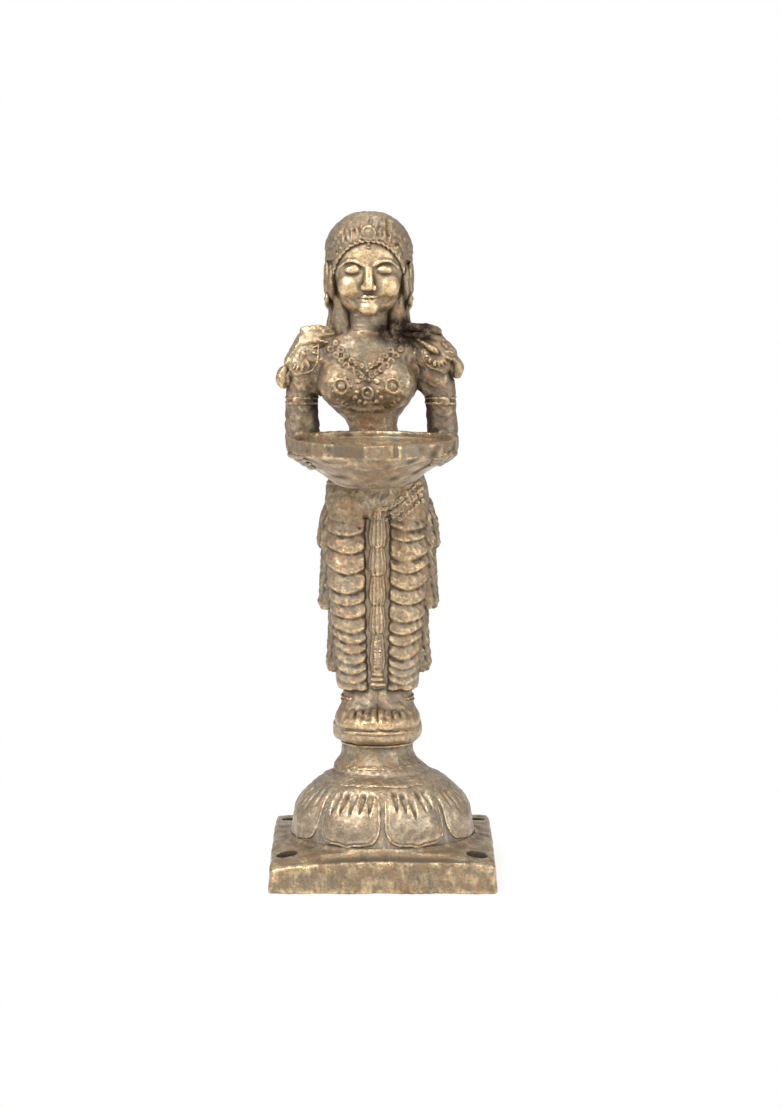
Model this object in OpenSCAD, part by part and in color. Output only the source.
// Small cast oil lamp: a standing figure holds a bowl in both hands,
// on a foot disc, a lotus dome and a square plate with corner holes.
// Millimetres, +Z up, origin at the centre of the plate's underside, the front faces -Y.
// The names right and left are the figure's own sides: right is -X and left is +X.

/* [Plate] */
// Width of the plate
plate_w = 58; // [54:0.5:70]
// Depth of the plate
plate_d = 58; // [54:0.5:70]
// Height of the plate under the dome
plate_h = 10; // [8:0.1:14]
// Height of the plate at its corners
plate_corner_h = 7.1; // [5:0.1:7.9]
// Rounding of the plate's upright corners
plate_corner_r = 1.5; // [0.5:0.1:3]
// Diameter of the four corner holes
hole_d = 5.2; // [3:0.1:6]
// Distance from a hole's centre to the plate's left or right side
hole_in_x = 5; // [4:0.1:5.5]
// Distance from a hole's centre to the plate's front or back
hole_in_y = 9; // [4:0.1:9.5]

/* [Lotus dome] */
// Radius of the dome at its foot
dome_r = 23.4; // [22:0.1:25]
// Radius of the dome at its top
dome_top_r = 12.8; // [12:0.1:15]
// Height of the dome
dome_h = 15.5; // [12:0.1:20]
// Wall of the hollow dome
dome_wall = 4; // [2:0.1:6]
// Thickness of the dome's roof, which carries the socket
dome_roof = 6; // [4:0.1:8]
// How far a petal stands out of the dome
petal_rise = 1.2; // [0.6:0.1:2]
// Height of a petal above the plate
petal_h = 13; // [9:0.1:14]
// Gap between neighbouring petals, in degrees
petal_gap = 1.6; // [1:0.1:6]
// Height of a petal's foot above the plate
petal_foot = 0.3; // [0.1:0.1:1]
// Gap between a petal's facets and the round dome
petal_seat = 0.14; // [0.1:0.01:0.2]
// Radius of the ring moulding on the dome
ring_r = 13.2; // [12.5:0.1:15]
// Height of the ring moulding
ring_h = 2.8; // [2:0.1:4]

/* [Collar and socket] */
// Radius of the collar at its waist
collar_r = 9.2; // [8:0.1:10]
// Radius of the collar at its foot
collar_foot_r = 11.2; // [10.2:0.1:12]
// Height of the collar
collar_h = 6; // [4:0.1:9]
// Sideways place of the collar and the figure's axis
stem_x = -1.3; // [-2:0.1:0]
// Diameter of the peg under the foot disc
tenon_d = 10; // [6:0.1:12]
// Length of the peg
tenon_l = 13; // [9:0.1:16]
// Gap all round between the peg and its socket
tenon_gap = 0.05; // [0.02:0.01:0.1]

/* [Foot disc and feet] */
// Radius of the foot disc
disc_r = 11.7; // [11:0.1:14]
// Height of the foot disc
disc_h = 5.2; // [4:0.1:7]
// Height of the feet up to the hem
foot_h = 8.5; // [7:0.1:11]
// Length of a foot from the ankle's centre to the toe tips
foot_l = 10.5; // [9:0.1:11]
// Width of a foot across the toes
foot_w = 8.6; // [7:0.1:9.2]
// Radius of an ankle
ankle_r = 3.7; // [3:0.1:4.2]
// Distance from the figure's axis to an ankle's centre
ankle_x = 4.7; // [4.2:0.1:5.5]
// Distance from the figure's axis back to an ankle's centre
ankle_y = 1.7; // [1:0.1:2.5]
// Radius of a big toe
toe_r = 1.25; // [0.9:0.05:1.4]
// Length of a toe
toe_l = 3.6; // [2.5:0.1:5]
// Radius of an anklet's beads
anklet_r = 0.9; // [0.6:0.1:1.2]
// Depth of an anklet below the hem
anklet_drop = 2.2; // [1.5:0.1:3.5]

/* [Skirt] */
// Width of both legs together at the hem
hem_w = 18.8; // [16:0.1:22]
// Width of both legs together at the thighs
thigh_w = 25.6; // [22:0.1:30]
// Depth of a leg at the thigh
thigh_d = 14.6; // [12:0.1:17]
// Depth of a leg at the hem
hem_d = 10.4; // [9:0.1:12]
// Height of the legs from the hem to the hips
leg_h = 43.5; // [38:0.1:50]
// Number of swag folds on a leg
fold_count = 12; // [8:1:14]
// How far a fold stands out
fold_rise = 0.55; // [0.2:0.05:0.9]
// How far a fold hangs down in the middle
fold_sag = 1.6; // [0:0.1:2.5]
// Width of the front pleat
pleat_w = 5.1; // [4:0.1:6]
// Number of bells in the front pleat
pleat_count = 6; // [5:1:8]
// How far a sash stands out beside a leg
sash_out = 3.6; // [2:0.1:4.5]
// Depth of a sash from front to back
sash_d = 8; // [6:0.1:10]
// Height of a sash's lower end above the hem
sash_up = 2.6; // [2:0.1:6]

/* [Hips and torso] */
// Width of the hips
hip_w = 26.6; // [24:0.1:30]
// Depth of the hips
hip_d = 16; // [14:0.1:19]
// Height of the hips up to the waist
hip_h = 20; // [17:0.1:24]
// Height of the girdle above the legs
girdle_up = 5.6; // [4:0.1:7]
// How far the girdle hangs down in front
girdle_sag = 2.6; // [1:0.1:3.5]
// Width of the waist
waist_w = 13.2; // [11:0.1:16]
// Depth of the waist
waist_d = 10.8; // [9:0.1:13]
// Width of the chest
chest_w = 27.6; // [25:0.1:30]
// Depth of the chest
chest_d = 14.4; // [12:0.1:17]
// Height of the torso from the waist to the neck
torso_h = 27.5; // [25:0.1:31]
// How far the bust stands out of the chest
bust_rise = 4.2; // [2:0.1:6]
// Spread of the bust's swelling
bust_size = 4.2; // [3.5:0.1:5]
// Height of the bust above the waist
bust_up = 14.2; // [12:0.1:16]
// Distance from the figure's axis to a bust's centre
bust_x = 6.7; // [5.5:0.1:7.5]
// How far the figure leans sideways from the hips to the neck
lean = -2.2; // [-4:0.1:0]
// Radius of the girdle's beads
girdle_r = 1.2; // [0.8:0.1:1.6]
// Radius of the necklace's beads
bead_r = 0.95; // [0.6:0.05:1.2]
// Depth of the necklace's lowest bead below the neck
necklace_drop = 10; // [8:0.1:11]
// Height that the necklace rises from its middle to its ends
necklace_rise = 6; // [5:0.1:7]
// Radius of the bosses of the pendant
boss_r = 1.3; // [1:0.05:1.6]
// Radius of a bodice rosette
rosette_r = 2.1; // [1.6:0.1:2.6]

/* [Arms] */
// Distance from the figure's axis to an arm's centre
arm_x = 17.6; // [16.5:0.1:19]
// Radius of an upper arm
arm_r = 4.3; // [3.5:0.1:5]
// Radius of an elbow
elbow_r = 4; // [3.2:0.1:4.6]
// Radius of a wrist
wrist_r = 2.4; // [2:0.1:3.2]
// Radius of a finger
finger_r = 1.2; // [1:0.05:1.7]
// Height of the elbow above the waist
elbow_up = -1.2; // [-5:0.1:0]
// Depth of the shoulder joint below the neck
shoulder_drop = 6; // [5:0.1:7.5]
// How far the elbow is set back from the shoulder
elbow_back = 2.4; // [1:0.1:3.5]
// Radius of an armlet's band
armlet_r = 0.9; // [0.6:0.05:1.2]
// How far a shoulder ornament stands out of the arm
ornament_out = 1.8; // [1:0.1:3]
// Radius of a shoulder ornament's curls
curl_r = 1.8; // [1.4:0.1:2.2]

/* [Neck and head] */
// Radius of the neck
neck_r = 5.4; // [4.5:0.1:6]
// Height of the neck
neck_h = 4.5; // [3:0.1:7]
// Width of the head without the hair
head_w = 19.8; // [17:0.1:22]
// Depth of the head without the hair
head_d = 19.6; // [17:0.1:22]
// Height of the head from the neck to the crown of the skull
head_h = 24.6; // [22:0.1:28]
// Thickness of the hair over the skull
hair_t = 1.5; // [1:0.1:2.5]
// Radius of the hair knot
knot_r = 5; // [4:0.1:6]
// Height of an ear
ear_h = 7; // [6:0.1:8]
// Radius of the rim of an ear
ear_r = 0.9; // [0.7:0.05:1.1]
// Radius of the wire of an earring
earring_r = 0.8; // [0.6:0.05:1]
// Radius of the lock along the hairline
lock_r = 1; // [0.7:0.05:1.3]
// Radius of the jewel over the forehead
jewel_r = 2.3; // [1.8:0.1:2.8]

/* [Bowl] */
// Outer radius of the bowl
bowl_r = 21.2; // [19:0.1:24]
// Height of the bowl
bowl_h = 12.4; // [11:0.1:15]
// Height of the upright band at the rim
band_h = 3.5; // [2.5:0.1:4.5]
// Radius of the bowl's foot
bowl_foot_r = 7.5; // [6:0.1:9]
// Curve of the bowl's flank: 1 is straight and more is hollow
flank_curve = 1.2; // [0.8:0.05:1.5]
// Wall of the bowl
bowl_wall = 1.8; // [1.2:0.1:2.5]
// Height of the rim above the waist
rim_up = 3.2; // [1:0.1:5]
// Gap between the belly and the back of the rim
belly_gap = 0.4; // [0.2:0.1:1.5]
// Width of the wick lip
lip_w = 18; // [12:0.1:20]
// How far the wick lip stands out
lip_out = 2; // [1:0.1:3]

/* [Hidden] */

// Colours of the aged brass: body, worn high places and dark hollows
brass = [0.56, 0.47, 0.33];
worn = [0.70, 0.57, 0.34];
dark = [0.40, 0.33, 0.25];

// The figure's own sides
right = -1;
left = 1;

// Gap that keeps a seated piece off an exactly round one
seat_gap = 0.08;
// Margin by which a cut passes its piece
past = 1;
// Number of petals round the dome
petals = 8;
// Points round a lofted section, and steps between two given sections
around = 24;
steps = 2;
// Facets of the balls in a chain: beads, ornaments and limbs
bead_fn = 6;
ball_fn = 8;
limb_fn = 12;
// Facets of large and small round bodies
round_fn = 72;
small_fn = 48;

// Heights of the joints between pieces, from the plate up
z_dome = plate_h;
z_ring = z_dome + dome_h;
z_collar = z_ring + ring_h;
z_disc = z_collar + collar_h;
z_foot = z_disc + disc_h;
z_hem = z_foot + foot_h;
z_hip = z_hem + leg_h;
z_waist = z_hip + hip_h;
z_neck = z_waist + torso_h;
z_jaw = z_neck + neck_h;
z_crown = z_jaw + head_h;

// Places that pieces share
tenon_r = tenon_d / 2;
socket_r = tenon_r + tenon_gap;
hollow_r = dome_r - dome_wall;
z_girdle = z_hip + girdle_up;
z_bust = z_waist + bust_up;
z_shoulder = z_neck - shoulder_drop;
z_elbow = z_waist + elbow_up;
z_rim = z_waist + rim_up;
z_bowl = z_rim - bowl_h;
bowl_y = -(waist_d / 2 + belly_gap + bowl_r);
ear_z = z_jaw + 0.37 * head_h;
hairline_z = z_jaw + 0.78 * head_h;

// Blend from 0 to 1 with level ends
function ease(t) = let (u = min(1, max(0, t))) u * u * (3 - 2 * u);
function mix(a, b, t) = a + (b - a) * t;
// Bump of unit height that fades with distance d over the width w
function bump(d, w) = exp(-d * d / (2 * w * w));
// Sideways place of the figure's axis at a height
function axis_x(z) = stem_x + lean * ease((z - z_hip) / (z_neck - z_hip));

// Smooth curve through four values
function spline(p0, p1, p2, p3, t) =
    0.5 * (2 * p1 + (p2 - p0) * t + (2 * p0 - 5 * p1 + 4 * p2 - p3) * t * t
    + (3 * p1 - p0 - 3 * p2 + p3) * t * t * t);
// Sections are rows of height, half width, front and back; this adds rows between them
function smooth(rows) = concat(
    [for (i = [0 : len(rows) - 2], j = [0 : steps - 1])
        spline(rows[max(0, i - 1)], rows[i], rows[i + 1], rows[min(len(rows) - 1, i + 2)], j / steps)],
    [rows[len(rows) - 1]]);
// One value of the rows at a height: 1 half width, 2 front, 3 back
function row_value(rows, z, i) = lookup(z, [for (r = rows) [r[0], r[i]]]);
// Front of a lofted body at a place
function front_y(rows, x, z) =
    let (f = row_value(rows, z, 2), b = row_value(rows, z, 3), u = min(1, abs(x) / row_value(rows, z, 1)))
    (f + b) / 2 - (b - f) / 2 * sqrt(1 - u * u);
// Elliptical ring of points of one section
function ring(row) = [for (k = [0 : around - 1])
    let (t = 360 * k / around)
    [axis_x(row[0]) + row[1] * cos(t), (row[2] + row[3]) / 2 + (row[3] - row[2]) / 2 * sin(t), row[0]]];

// Closed skin over a stack of rings, each counter-clockwise from above
module skin(rings) {
    n = len(rings[0]);
    last = len(rings) - 1;
    polyhedron(
        points = [for (r = rings, p = r) p],
        faces = concat(
            [[for (k = [0 : n - 1]) k]],
            [[for (k = [n - 1 : -1 : 0]) last * n + k]],
            [for (i = [0 : last - 1], k = [0 : n - 1])
                [i * n + k, (i + 1) * n + k, (i + 1) * n + (k + 1) % n]],
            [for (i = [0 : last - 1], k = [0 : n - 1])
                [i * n + k, (i + 1) * n + (k + 1) % n, i * n + (k + 1) % n]]));
}

// Ball at [x, y, z, r], and a rounded chain through such balls
module ball(s, fn = ball_fn) {
    translate([s[0], s[1], s[2]]) sphere(r = s[3], $fn = fn);
}
module chain(stations, fn = ball_fn) {
    for (i = [0 : len(stations) - 2]) hull() {
        ball(stations[i], fn);
        ball(stations[i + 1], fn);
    }
}

// Plate and pedestal
module rounded_rectangle(w, d, r) {
    square([w - 2 * r, d], center = true);
    square([w, d - 2 * r], center = true);
    for (sx = [-1, 1], sy = [-1, 1])
        translate([sx * (w / 2 - r), sy * (d / 2 - r)]) circle(r = r, $fn = small_fn);
}
module base_plate() {
    reach = norm([plate_w, plate_d]) / 2;
    color(worn) difference() {
        intersection() {
            linear_extrude(plate_h) rounded_rectangle(plate_w, plate_d, plate_corner_r);
            rotate_extrude($fn = round_fn)
                polygon([[0, 0], [reach, 0], [reach, plate_corner_h], [dome_r, plate_h], [0, plate_h]]);
        }
        for (sx = [-1, 1], sy = [-1, 1])
            translate([sx * (plate_w / 2 - hole_in_x), sy * (plate_d / 2 - hole_in_y), -past])
                cylinder(d = hole_d, h = plate_h + 2 * past, $fn = small_fn);
        translate([0, 0, -past]) cylinder(r = hollow_r, h = plate_h + 2 * past, $fn = round_fn);
    }
}

// Radius of the dome at a height above the plate
function dome_radius(h) = dome_top_r + (dome_r - dome_top_r) * sqrt(max(0, 1 - pow(h / dome_h, 2)));
module socket_bore() {
    translate([stem_x, 0, z_dome]) cylinder(r = socket_r, h = z_disc - z_dome + past, $fn = round_fn);
}
module lotus_dome() {
    inner_h = dome_h - dome_roof;
    color(brass) difference() {
        translate([0, 0, z_dome]) rotate_extrude($fn = round_fn) polygon(concat(
            [for (a = [0 : 9 : 90]) [mix(dome_top_r, dome_r, cos(a)), dome_h * sin(a)]],
            [[0, dome_h], [0, inner_h]],
            [for (a = [90 : -9 : 0]) [mix(dome_top_r, hollow_r, cos(a)), inner_h * sin(a)]]));
        socket_bore();
    }
}

// One petal, swelling in the middle, with a round foot and a narrower top; its cells across and along
petal_across = 6;
petal_along = 7;
// Share of the height that the round foot takes, and how much narrower the top is
round_foot = 0.3;
top_taper = 0.2;
// Least share of the width and of the swelling, so that no edge is sharp
least_width = 0.1;
least_swell = 0.06;
function petal_width(v) = v < round_foot
    ? sqrt(max(least_width, 1 - pow(1 - v / round_foot, 2)))
    : 1 - top_taper * ease((v - round_foot) / (1 - round_foot));
function petal_swell(u, v) = petal_rise * sqrt(max(least_swell, 1 - pow(u, 4)))
    * sqrt(max(least_swell, sin(180 * mix(0.12, 0.92, v))));
function petal_point(i, j, out) =
    let (v = pow(j / petal_along, 1.4), u = 2 * i / petal_across - 1, h = mix(petal_foot, petal_h, v))
    let (r = dome_radius(h) + petal_seat + out * petal_swell(u, v))
    let (a = u * petal_width(v) * (180 / petals - petal_gap / 2))
    [r * sin(a), -r * cos(a), z_dome + h];
module petal_form() {
    n = petal_across + 1;
    m = petal_along + 1;
    sheet = n * m;
    edge = concat(
        [for (i = [0 : petal_across]) i],
        [for (j = [1 : petal_along]) j * n + petal_across],
        [for (i = [petal_across - 1 : -1 : 0]) petal_along * n + i],
        [for (j = [petal_along - 1 : -1 : 1]) j * n]);
    ends = len(edge);
    cells = [for (j = [0 : petal_along - 1], i = [0 : petal_across - 1]) j * n + i];
    polyhedron(
        points = concat(
            [for (j = [0 : petal_along], i = [0 : petal_across]) petal_point(i, j, 0)],
            [for (j = [0 : petal_along], i = [0 : petal_across]) petal_point(i, j, 1)]),
        faces = concat(
            [for (c = cells) [c, c + 1, c + n + 1]],
            [for (c = cells) [c, c + n + 1, c + n]],
            [for (c = cells) [sheet + c, sheet + c + n + 1, sheet + c + 1]],
            [for (c = cells) [sheet + c, sheet + c + n, sheet + c + n + 1]],
            [for (e = [0 : ends - 1]) [edge[e], sheet + edge[e], sheet + edge[(e + 1) % ends]]],
            [for (e = [0 : ends - 1]) [edge[e], sheet + edge[(e + 1) % ends], edge[(e + 1) % ends]]]));
}
module lotus_petal(i) {
    color(worn) rotate([0, 0, (i - 0.5) * 360 / petals]) petal_form();
}

module dome_ring() {
    color(brass) difference() {
        translate([0, 0, z_ring]) rotate_extrude($fn = round_fn) polygon(concat(
            [[0, 0]],
            [for (a = [-90 : 15 : 90]) [ring_r - ring_h / 2 + ring_h / 2 * cos(a), ring_h / 2 * (1 + sin(a))]],
            [[0, ring_h]]));
        socket_bore();
    }
}
module socket_collar() {
    color(brass) translate([stem_x, 0, z_collar]) rotate_extrude($fn = round_fn) polygon(concat(
        [[socket_r, 0]],
        [for (i = [0 : 8]) [mix(collar_foot_r, collar_r, sin(90 * i / 8)), collar_h * i / 8]],
        [[socket_r, collar_h]]));
}

// Peg, disc and feet
module tenon() {
    chamfer = 0.8;
    color(dark) translate([stem_x, 0, z_disc - tenon_l]) rotate_extrude($fn = round_fn)
        polygon([[0, 0], [tenon_r - chamfer, 0], [tenon_r, chamfer], [tenon_r, tenon_l], [0, tenon_l]]);
}
module foot_disc() {
    edge = disc_h / 2;
    color(worn) translate([stem_x, 0, z_disc]) rotate_extrude($fn = round_fn) polygon(concat(
        [[0, 0]],
        [for (a = [-90 : 15 : 90]) [disc_r - 0.7 * edge * (1 - cos(a)), edge * (1 + sin(a))]],
        [[0, disc_h]]));
}
// Side slab from the disc to the hem, which trims a foot flat
module foot_room(side) {
    room = 2 * disc_r;
    inner_x = stem_x + side * seat_gap;
    translate([side > 0 ? inner_x : inner_x - room, -room, z_foot]) cube([room, 2 * room, foot_h]);
}
module foot_form(side) {
    x = stem_x + side * ankle_x;
    toe_y = ankle_y - foot_l;
    root_y = toe_y + toe_l;
    instep = [x, root_y, z_foot + 0.22 * foot_w, 0.34 * foot_w];
    heel = [x, 1.5 * ankle_y, z_foot + 0.65 * ankle_r, 0.95 * ankle_r];
    shin = [x, ankle_y, z_hem, ankle_r];
    toes = 5;
    intersection() {
        union() {
            chain([shin, heel, instep, shin]);
            for (k = [0 : toes - 1]) {
                t = k / (toes - 1);
                across = side * (t - 0.5) * (foot_w - 1.6 * toe_r);
                r = mix(1, 0.68, t) * toe_r;
                chain([[x + 0.8 * across, root_y, z_foot + 1.45 * toe_r, r],
                    [x + across, toe_y + 0.7 * t * toe_r + r, z_foot + 0.96 * toe_r, r]]);
            }
        }
        foot_room(side);
    }
}
module foot(side) {
    color(worn) foot_form(side);
}
module anklet(side) {
    x = stem_x + side * ankle_x;
    r = ankle_r + 0.22 * anklet_r;
    turns = 12;
    color(worn) difference() {
        intersection() {
            chain([for (k = [0 : turns])
                let (a = 360 * k / turns)
                [x + r * cos(a), ankle_y + r * sin(a), z_hem - anklet_drop, anklet_r]], bead_fn);
            foot_room(side);
        }
        foot_form(side);
    }
}

// Draped legs
leg_rows = smooth([
    [z_hem, hem_w / 4, -hem_d / 2, hem_d / 2],
    leg_row(0.3, 0.35, 0.45, 0.4),
    leg_row(0.7, 0.85, 0.9, 0.8),
    [z_hip, thigh_w / 4, -thigh_d / 2, thigh_d / 2]]);
// Row at a share of the height, from shares of the way from the hem's to the thigh's width, front and back
function leg_row(up, wide, front, back) = [z_hem + up * leg_h, mix(hem_w, thigh_w, wide) / 4,
    -mix(hem_d, thigh_d, front) / 2, mix(hem_d, thigh_d, back) / 2];
// Points round a leg
leg_around = 18;
// Rings of points for each fold
fold_rings = 3;
// A fold swells slowly downwards and turns in under its lip, at this share of its height
fold_lip = 0.34;
function fold_out(t) =
    let (p = t * fold_count - floor(t * fold_count))
    fold_rise * (p < fold_lip ? p / fold_lip : (1 - p) / (1 - fold_lip));
function leg_ring(side, i) =
    let (t = i / (fold_rings * fold_count), z = mix(z_hem, z_hip, t), fade = ease(4 * t) * ease(4 * (1 - t)))
    let (w = row_value(leg_rows, z, 1), f = row_value(leg_rows, z, 2), b = row_value(leg_rows, z, 3))
    let (out = fade * fold_out(t), mid = stem_x + side * (w + seat_gap))
    [for (k = [0 : leg_around - 1])
        let (a = 360 * k / leg_around, facing = max(0, -sin(a)))
        [mid + (w - fold_rise + out) * cos(a),
            (f + b) / 2 + ((b - f) / 2 - fold_rise + out) * sin(a),
            z + fade * fold_sag * (0.5 - facing)]];
module leg_form(side) {
    skin([for (i = [0 : fold_rings * fold_count]) leg_ring(side, i)]);
}
module leg(side) {
    color(brass) leg_form(side);
}

// Front pleat of stacked bells
z_pleat = z_girdle - 0.88 * pleat_w;
// Depth of the pleat's axis as a share of the legs' front
pleat_in = 0.68;
module front_pleat() {
    bell_h = (z_pleat - z_hem - 0.3 * pleat_w) / pleat_count;
    bell_lip = 0.16 * pleat_w;
    color(worn) difference() {
        for (i = [0 : pleat_count - 1]) {
            z = z_pleat - i * bell_h;
            y = pleat_in * row_value(leg_rows, z - bell_h / 2, 2);
            throat = [stem_x, y, z - 0.2 * pleat_w, 0.36 * pleat_w];
            waist = [stem_x, y, z - 0.55 * bell_h, 0.46 * pleat_w];
            chain([throat, waist], bead_fn);
            hull() {
                ball(waist, bead_fn);
                translate([stem_x, y, z - bell_h + 0.4 * bell_lip])
                    cylinder(r = pleat_w / 2, h = bell_lip, $fn = limb_fn);
            }
        }
        leg_form(right);
        leg_form(left);
        translate([stem_x, 0, z_hip]) hip_room();
    }
}
// Space above the legs that belongs to the hips
module hip_room() {
    translate([-hip_w, -hip_d, 0]) cube([2 * hip_w, 2 * hip_d, hip_h]);
}

// Side sashes of three scalloped tiers
tiers = 3;
sash_r = 0.3 * sash_out;
module sash_slice(side, inner, outer, half, z) {
    for (x = [inner, outer - sash_r], y = [-half, half + sash_r])
        ball([stem_x + side * x, y, z, sash_r], bead_fn);
}
module sash(side) {
    top = z_girdle - sash_r;
    tier_h = (top - z_hem - sash_up) / tiers;
    color(brass) difference() {
        for (t = [0 : tiers - 1]) {
            z = top - t * tier_h;
            levels = [z, z - 0.35 * tier_h, z - 0.8 * tier_h, z - 0.95 * tier_h];
            outs = [0.4, 0.85, 1, 0.5] * sash_out;
            halves = [0.3, 0.42, 0.46, 0.3] * sash_d;
            for (i = [0 : 2]) hull() for (j = [i, i + 1]) {
                legs_half = 2 * row_value(leg_rows, min(z_hip, levels[j]), 1);
                sash_slice(side, legs_half - 2 * sash_r, legs_half + outs[j], halves[j], levels[j]);
            }
        }
        leg_form(side);
        hips_form();
        girdle_form();
    }
}

// Hips and girdle
hip_rows = smooth([
    [z_hip, thigh_w / 2, -thigh_d / 2, hip_d / 2],
    [z_hip + 0.28 * hip_h, hip_w / 2, -hip_d / 2, hip_d / 2],
    [z_hip + 0.55 * hip_h, 0.46 * hip_w, -0.46 * hip_d, 0.48 * hip_d],
    [z_hip + 0.82 * hip_h, mix(waist_w, hip_w, 0.3) / 2,
        -mix(waist_d, hip_d, 0.25) / 2, mix(waist_d, hip_d, 0.3) / 2],
    [z_waist, waist_w / 2, -waist_d / 2, waist_d / 2]]);
module hips_form() {
    skin([for (r = hip_rows) ring(r)]);
}
module hips() {
    color(brass) hips_form();
}
module girdle_form() {
    turns = 30;
    chain([for (k = [0 : turns])
        let (a = 360 * k / turns, z = z_girdle - girdle_sag * max(0, -sin(a)) + girdle_r * abs(cos(a)))
        let (w = row_value(hip_rows, z, 1), f = row_value(hip_rows, z, 2), b = row_value(hip_rows, z, 3))
        [axis_x(z) + w * cos(a), (f + b) / 2 + (b - f) / 2 * sin(a), z, girdle_r]], bead_fn);
}
module girdle() {
    color(worn) difference() {
        girdle_form();
        hips_form();
    }
}

// Torso with the bust
torso_rows = smooth([
    [z_waist, waist_w / 2, -waist_d / 2, waist_d / 2],
    [z_waist + 0.17 * torso_h, waist_w / 2, -waist_d / 2, waist_d / 2],
    [z_waist + 0.35 * torso_h, 0.39 * chest_w, -0.46 * chest_d, 0.45 * chest_d],
    [z_waist + 0.53 * torso_h, chest_w / 2, -chest_d / 2, chest_d / 2],
    [z_waist + 0.73 * torso_h, 0.52 * chest_w, -0.47 * chest_d, 0.5 * chest_d],
    [z_waist + 0.86 * torso_h, 0.47 * chest_w, -0.42 * chest_d, 0.46 * chest_d],
    [z_waist + 0.94 * torso_h, 0.38 * chest_w, -0.36 * chest_d, 0.42 * chest_d],
    [z_neck, 1.16 * neck_r, -1.04 * neck_r, 1.08 * neck_r]]);
function bust_out(x, z) = bust_rise * bump(z - z_bust, bust_size)
    * (bump(x - bust_x, bust_size) + bump(x + bust_x, bust_size));
function torso_front(x, z) = front_y(torso_rows, x, z) - bust_out(x, z);
function torso_ring(row) = [for (p = ring(row))
    let (x = p[0] - axis_x(p[2]), facing = ease((row[2] + row[3]) / 2 - p[1]))
    [p[0], p[1] - facing * bust_out(x, p[2]), p[2]]];
module torso_form() {
    skin([for (r = torso_rows) torso_ring(r)]);
}
module torso() {
    color(worn) torso_form();
}

// Ornaments on the chest lie on the torso's front
function on_chest(x, z, r) = [axis_x(z) + x, torso_front(x, z) - 0.25 * r, z, r];
module rosette(side) {
    turns = 8;
    x = side * bust_x;
    z = z_bust + 0.28 * rosette_r;
    wire = 0.28 * rosette_r;
    color(dark) difference() {
        union() {
            chain([for (k = [0 : turns])
                on_chest(x + (rosette_r - wire) * cos(360 * k / turns),
                    z + (rosette_r - wire) * sin(360 * k / turns), wire)], bead_fn);
            ball(on_chest(x, z, 0.43 * rosette_r));
        }
        torso_form();
    }
}
necklace_half = 0.31 * chest_w;
// Distance between the two rows in bead radii, and how much narrower the upper row is
row_pitch = 2.2;
row_taper = 0.08;
function necklace_z(x, row) = z_neck - necklace_drop + row * row_pitch * bead_r
    + necklace_rise * pow(abs(x) / necklace_half, 1.3);
module necklace_form() {
    links = 14;
    for (row = [0, 1])
        chain([for (k = [0 : links])
            let (x = necklace_half * (2 * k / links - 1) * (1 - row_taper * row))
            on_chest(x, necklace_z(x, row), bead_r)], bead_fn);
}
module necklace() {
    color(worn) difference() {
        necklace_form();
        torso_form();
        neck_form();
    }
}
module pendant() {
    low = z_neck - necklace_drop - 2 * bead_r;
    // Places of the bosses in boss radii
    bosses = [[-1.6, 0], [1.6, 0], [0, -2.2], [-2.8, -3.9], [0, -4.6], [2.8, -3.9]];
    stalk_r = 0.7 * boss_r;
    color(worn) difference() {
        union() {
            for (p = bosses * boss_r) hull() {
                ball(on_chest(p[0], low + p[1], boss_r), bead_fn);
                ball(on_chest(p[0], low + p[1] + 0.3 * boss_r, 0.85 * boss_r), bead_fn);
            }
            chain([for (up = [1.5, -1.5, -4.6]) on_chest(0, low + up * boss_r, stalk_r)], bead_fn);
        }
        torso_form();
        necklace_form();
    }
}

// Arms: the upper arm hangs straight, the forearm goes forward to the bowl
arm_steps = 8;
// How far the shoulder joint lies inside the arm's line, and how far the forearm sags, in arm and wrist radii
shoulder_in = 0.47;
forearm_sag = 0.29;
function upper_arm_path(side) = [for (i = [0 : arm_steps])
    let (t = i / arm_steps, z = mix(z_shoulder, z_elbow, t))
    let (out = arm_x - shoulder_in * arm_r * (1 - ease(2.5 * t)))
    [axis_x(z) + side * out, elbow_back * t, z, mix(1.07 * arm_r, elbow_r, t)]];
function wrist_place(side) =
    [axis_x(z_rim) + side * 0.86 * bowl_r, bowl_y + 0.5 * bowl_r, z_bowl + 0.55 * bowl_h];
function forearm_path(side) = let (w = wrist_place(side), e = upper_arm_path(side)[arm_steps])
    [for (i = [0 : arm_steps])
        let (t = i / arm_steps, sag = forearm_sag * wrist_r * sin(180 * t))
        [mix(e[0], w[0], t), mix(e[1], w[1], t), mix(e[2], w[2], t) - sag, mix(0.93 * elbow_r, wrist_r, t)]];
module upper_arm_form(side) {
    chain(upper_arm_path(side), limb_fn);
}
module forearm_form(side) {
    chain(forearm_path(side), limb_fn);
}
module upper_arm(side) {
    color(brass) difference() {
        upper_arm_form(side);
        torso_form();
    }
}
module forearm(side) {
    color(brass) difference() {
        forearm_form(side);
        upper_arm_form(side);
        hips_form();
        bowl_room();
    }
}

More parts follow.
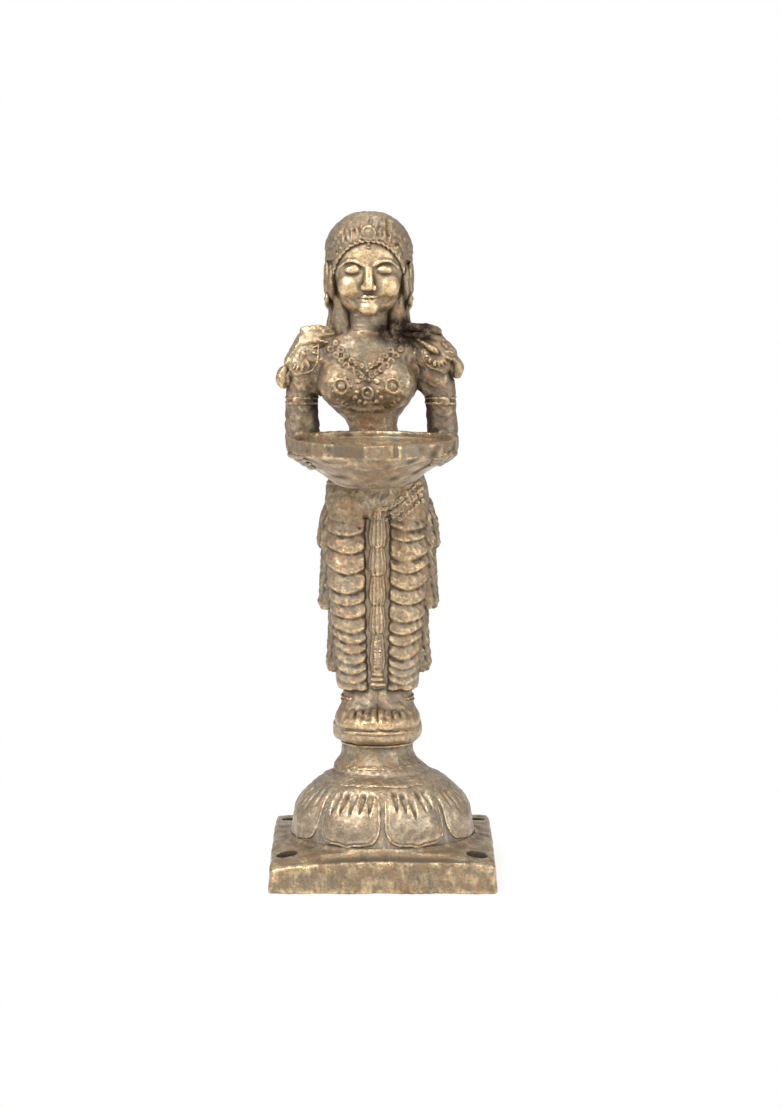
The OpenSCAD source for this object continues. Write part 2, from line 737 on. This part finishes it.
// Hands: palm beside the bowl, fingers under its slope, one finger each of these degrees round the bowl
finger_pitch = 12;
finger_turn = 3.5;
function bowl_point(side, around_deg, h, r) =
    let (out = bowl_outer(h) + 0.55 * r)
    [axis_x(z_rim) + side * out * cos(around_deg), bowl_y - out * sin(around_deg), z_bowl + h - 0.5 * r, r];
module hand(side) {
    knuckle_h = 0.6 * bowl_h;
    tip_h = 0.34 * bowl_h;
    w = wrist_place(side);
    color(worn) difference() {
        union() {
            for (k = [0 : 3]) {
                a = k * finger_pitch + finger_turn;
                chain([bowl_point(side, a, knuckle_h, finger_r),
                    bowl_point(side, a + finger_turn, mix(knuckle_h, tip_h, 0.5), finger_r),
                    bowl_point(side, a + 2 * finger_turn, tip_h, 0.85 * finger_r)]);
                hull() {
                    ball([w[0], w[1], w[2], wrist_r]);
                    ball(bowl_point(side, a, knuckle_h, finger_r));
                }
            }
        }
        forearm_form(side);
        bowl_room();
    }
}

// Armlet with its boss
module armlet(side) {
    at = upper_arm_path(side)[4];
    turns = 12;
    color(worn) difference() {
        union() {
            chain([for (k = [0 : turns])
                [at[0] + at[3] * cos(360 * k / turns), at[1] + at[3] * sin(360 * k / turns), at[2], armlet_r]],
                bead_fn);
            ball([at[0] + side * 0.3 * at[3], at[1] - at[3], at[2] + armlet_r, 1.45 * armlet_r]);
        }
        upper_arm_form(side);
        torso_form();
    }
}

// Shoulder ornament: two rolled curls on top, a broad lobe with a fringe and an outer drop.
// Places are in arm radii from the shoulder joint on the arm's line, and radii are in curl radii.
function shoulder_point(side, x, y, up, r) =
    let (z = z_shoulder + up * arm_r)
    [axis_x(z) + side * (arm_x + x * arm_r), y * arm_r, z, r * curl_r];
module shoulder_ornament(side) {
    edge = 1 + ornament_out / arm_r;
    drops = 5;
    color(brass) difference() {
        union() {
            chain([shoulder_point(side, -1.63, -0.58, 1.3, 0.94),
                shoulder_point(side, -0.35, -0.47, 1.07, 1.1)]);
            chain([shoulder_point(side, -1.4, -0.93, 0.7, 0.9),
                shoulder_point(side, 0.12, -0.79, 0.51, 1.05)]);
            hull() {
                ball(shoulder_point(side, -0.7, -0.58, 0.58, 1.67));
                ball(shoulder_point(side, 0.28, -0.35, 0.51, 1.9));
                ball(shoulder_point(side, 0.37, -0.28, -0.58, 2));
                ball(shoulder_point(side, -0.42, -0.56, -0.47, 1.67));
            }
            for (k = [0 : drops - 1]) {
                t = k / (drops - 1);
                chain([shoulder_point(side, mix(-0.84, 1.02, t), mix(-0.98, -0.66, t), -0.7, 0.6),
                    shoulder_point(side, mix(-0.93, 1.11, t), mix(-1.02, -0.65, t), -1.16, 0.53)]);
            }
            chain([shoulder_point(side, edge - 0.6, 0, 0.12, 1),
                shoulder_point(side, edge - 0.4, 0.05, -1.05, 0.9),
                shoulder_point(side, edge - 0.47, 0.05, -1.47, 0.6)]);
        }
        torso_form();
        upper_arm_form(side);
        hair_form();
        necklace_form();
    }
}

// Neck, head and hair
module neck_form() {
    translate([axis_x(z_neck), 0, z_neck]) rotate_extrude($fn = small_fn)
        polygon([[0, 0], [neck_r, 0], [0.93 * neck_r, neck_h / 2], [neck_r, neck_h], [0, neck_h]]);
}
module neck() {
    color(brass) neck_form();
}
head_rows = smooth([
    [z_jaw, 0.3 * head_w, -0.32 * head_d, 0.28 * head_d],
    [z_jaw + 0.1 * head_h, 0.36 * head_w, -0.42 * head_d, 0.36 * head_d],
    [z_jaw + 0.24 * head_h, 0.44 * head_w, -0.47 * head_d, 0.44 * head_d],
    [z_jaw + 0.42 * head_h, 0.49 * head_w, -0.48 * head_d, 0.49 * head_d],
    [z_jaw + 0.6 * head_h, 0.5 * head_w, -0.49 * head_d, 0.52 * head_d],
    [z_jaw + 0.78 * head_h, 0.46 * head_w, -0.44 * head_d, 0.49 * head_d],
    [z_jaw + 0.92 * head_h, 0.33 * head_w, -0.3 * head_d, 0.36 * head_d],
    [z_crown, 0.12 * head_w, -0.1 * head_d, 0.15 * head_d]]);
// A plain nose between two shares of the head's height
nose_low = 0.26;
nose_top = 0.56;
function nose_out(x, z) = let (v = (z - z_jaw) / head_h)
    0.09 * head_d * bump(x, 0.06 * head_w) * ease(12 * (v - nose_low)) * ease((nose_top - v) / nose_low);
module head_form() {
    skin([for (r = head_rows) [for (p = ring(r))
        [p[0], p[1] - (p[1] < 0 ? nose_out(p[0] - axis_x(p[2]), p[2]) : 0), p[2]]]]);
}
module head() {
    color(worn) head_form();
}
hair_rows = smooth([
    [z_jaw - 0.1 * head_h, 0.46 * head_w + hair_t / 2, 0.13 * head_d, 0.5 * head_d],
    [z_jaw + 0.12 * head_h, 0.48 * head_w + hair_t / 2, 0.11 * head_d, 0.54 * head_d + hair_t],
    [z_jaw + 0.34 * head_h, 0.49 * head_w + hair_t, 0.08 * head_d, 0.55 * head_d + hair_t],
    [z_jaw + 0.56 * head_h, 0.5 * head_w + hair_t, -0.42 * head_d, 0.55 * head_d + hair_t],
    [z_jaw + 0.76 * head_h, 0.48 * head_w + hair_t, -0.46 * head_d - hair_t, 0.5 * head_d + hair_t],
    [z_jaw + 0.92 * head_h, 0.35 * head_w + hair_t, -0.32 * head_d - hair_t, 0.38 * head_d + hair_t],
    [z_crown + 0.6 * hair_t, 0.2 * head_w, -0.18 * head_d, 0.24 * head_d],
    [z_crown + hair_t, 0.1 * head_w, -0.08 * head_d, 0.13 * head_d]]);
module hair_form() {
    skin([for (r = hair_rows) ring(r)]);
}
// Window in the hair through which the face shows
face_half = 0.46 * head_w;
module face_window() {
    h = hairline_z - ear_z;
    translate([axis_x(ear_z), 0, ear_z]) rotate([90, 0, 0]) scale([face_half / h, 1, 1])
        cylinder(r = h, h = head_d, $fn = 32);
}
module hair_strands() {
    strands = 4;
    for (s = [0 : strands - 1]) {
        x = (s / (strands - 1) - 0.5) * 0.62 * head_w;
        chain([for (t = [0, 0.5, 1])
            let (z = mix(hairline_z + lock_r, z_crown, t))
            [axis_x(z) + x, front_y(hair_rows, x, z) + lock_r / 2, z, 0.8 * lock_r]], bead_fn);
    }
}
module hair_cap() {
    color(brass) difference() {
        union() {
            hair_form();
            hair_strands();
        }
        head_form();
        neck_form();
        torso_form();
        face_window();
    }
}
function hairline_point(a) =
    let (h = hairline_z - ear_z, x = face_half * cos(a), z = ear_z + h * sin(a))
    [axis_x(z) + x, front_y(head_rows, x, z) - 0.2 * lock_r, z, lock_r];
module hair_band_form() {
    links = 14;
    chain([for (k = [0 : links]) hairline_point(mix(12, 168, k / links))], bead_fn);
}
module hair_band() {
    color(worn) difference() {
        hair_band_form();
        head_form();
        hair_form_open();
        hair_strands();
    }
}
module hair_form_open() {
    difference() {
        hair_form();
        face_window();
    }
}
module brow_jewel() {
    wire = 0.3 * jewel_r;
    r = jewel_r - wire;
    z = hairline_z + r;
    y = front_y(hair_rows, 0, z) - 0.4 * wire;
    beads = 8;
    color(worn) difference() {
        union() {
            chain([for (k = [0 : beads])
                [axis_x(z) + r * cos(360 * k / beads), y, z + r * sin(360 * k / beads), wire]], bead_fn);
            ball([axis_x(z), y - 0.3 * wire, z, 0.52 * jewel_r]);
        }
        head_form();
        hair_form();
        hair_strands();
        hair_band_form();
    }
}
module hair_knot() {
    z = z_jaw + 0.42 * head_h;
    y = row_value(hair_rows, z, 3) + 0.3 * knot_r;
    turns = 18;
    color(brass) difference() {
        chain([for (k = [0 : turns])
            let (a = 40 * k, r = 0.66 * knot_r * (1 - 0.75 * k / turns))
            [axis_x(z) + r * cos(a), y + 0.25 * knot_r * k / turns, z + r * sin(a), 0.36 * knot_r]], bead_fn);
        hair_form();
        head_form();
    }
}

// Ears and earrings
ear_x = 0.5 * head_w + 0.9 * ear_r;
ear_y = -0.03 * head_d;
function ear_path(side) = [for (k = [0 : 8])
    let (a = mix(250, -60, k / 8), z = ear_z + 0.5 * ear_h * sin(a))
    [axis_x(z) + side * ear_x, ear_y + 0.26 * ear_h * cos(a), z, ear_r]];
module ear_form(side) {
    chain(ear_path(side), bead_fn);
    ball([axis_x(ear_z) + side * (ear_x - 0.45 * ear_r), ear_y, ear_z, 1.65 * ear_r]);
}
module ear(side) {
    color(worn) difference() {
        ear_form(side);
        head_form();
        hair_form_open();
    }
}
module earring(side) {
    z = ear_z - 0.5 * ear_h - 2 * earring_r;
    x = axis_x(z) + side * (ear_x - 0.25 * earring_r);
    r = 1.9 * earring_r;
    turns = 10;
    color(worn) difference() {
        chain([for (k = [0 : turns])
            [x, ear_y + r * sin(360 * k / turns), z + r * cos(360 * k / turns), earring_r]], bead_fn);
        ear_form(side);
        head_form();
        hair_form_open();
    }
}

// Oil bowl with a flared belly, an upright rim band and a pointed wick lip
belly_h = bowl_h - band_h;
function belly_r(t) = mix(bowl_foot_r, bowl_r, pow(t, flank_curve));
bowl_profile = concat([for (t = [0, 0.2, 0.55, 1]) [t * belly_h, belly_r(t)]], [[bowl_h, bowl_r]]);
function bowl_outer(h) = lookup(h, bowl_profile);
module bowl_solid(grow) {
    rotate_extrude($fn = round_fn) polygon(concat(
        [[0, -grow], [bowl_foot_r + grow, -grow]],
        [for (p = bowl_profile) [p[1] + grow, p[0]]],
        [[bowl_r + grow, bowl_h + grow], [0, bowl_h + grow]]));
}
module lip_prism(w, out, h) {
    root = -0.8 * bowl_r;
    rim = -sqrt(bowl_r * bowl_r - w * w / 4);
    linear_extrude(h) polygon([[-w / 2, root], [-w / 2, rim], [0, -bowl_r - out], [w / 2, rim], [w / 2, root]]);
}
module bowl_room() {
    translate([axis_x(z_rim), bowl_y, z_bowl]) bowl_solid(seat_gap);
}
module lamp_bowl() {
    color(worn) translate([axis_x(z_rim), bowl_y, z_bowl]) difference() {
        union() {
            bowl_solid(0);
            translate([0, 0, belly_h]) lip_prism(lip_w, lip_out, band_h);
        }
        rotate_extrude($fn = round_fn) polygon(concat(
            [[0, bowl_wall]],
            [for (p = bowl_profile) [p[1] - bowl_wall, p[0] + (p[0] < belly_h ? bowl_wall : 0)]],
            [[bowl_r - bowl_wall, bowl_h + past], [0, bowl_h + past]]));
        translate([0, 0, belly_h + bowl_wall])
            lip_prism(lip_w - 3 * bowl_wall, lip_out - 1.2 * bowl_wall, band_h);
    }
}

base_plate();
lotus_dome();
for (i = [1 : petals]) lotus_petal(i);
dome_ring();
socket_collar();
tenon();
foot_disc();
foot(right);  // right_foot
foot(left);  // left_foot
anklet(right);  // right_anklet
anklet(left);  // left_anklet
leg(right);  // right_leg
leg(left);  // left_leg
front_pleat();
sash(right);  // right_sash
sash(left);  // left_sash
hips();
girdle();
torso();
rosette(right);  // right_rosette
rosette(left);  // left_rosette
necklace();
pendant();
upper_arm(right);  // right_upper_arm
upper_arm(left);  // left_upper_arm
forearm(right);  // right_forearm
forearm(left);  // left_forearm
hand(right);  // right_hand
hand(left);  // left_hand
armlet(right);  // right_armlet
armlet(left);  // left_armlet
shoulder_ornament(right);  // right_shoulder_ornament
shoulder_ornament(left);  // left_shoulder_ornament
neck();
head();
ear(right);  // right_ear
ear(left);  // left_ear
earring(right);  // right_earring
earring(left);  // left_earring
hair_cap();
hair_band();
brow_jewel();
hair_knot();
lamp_bowl();
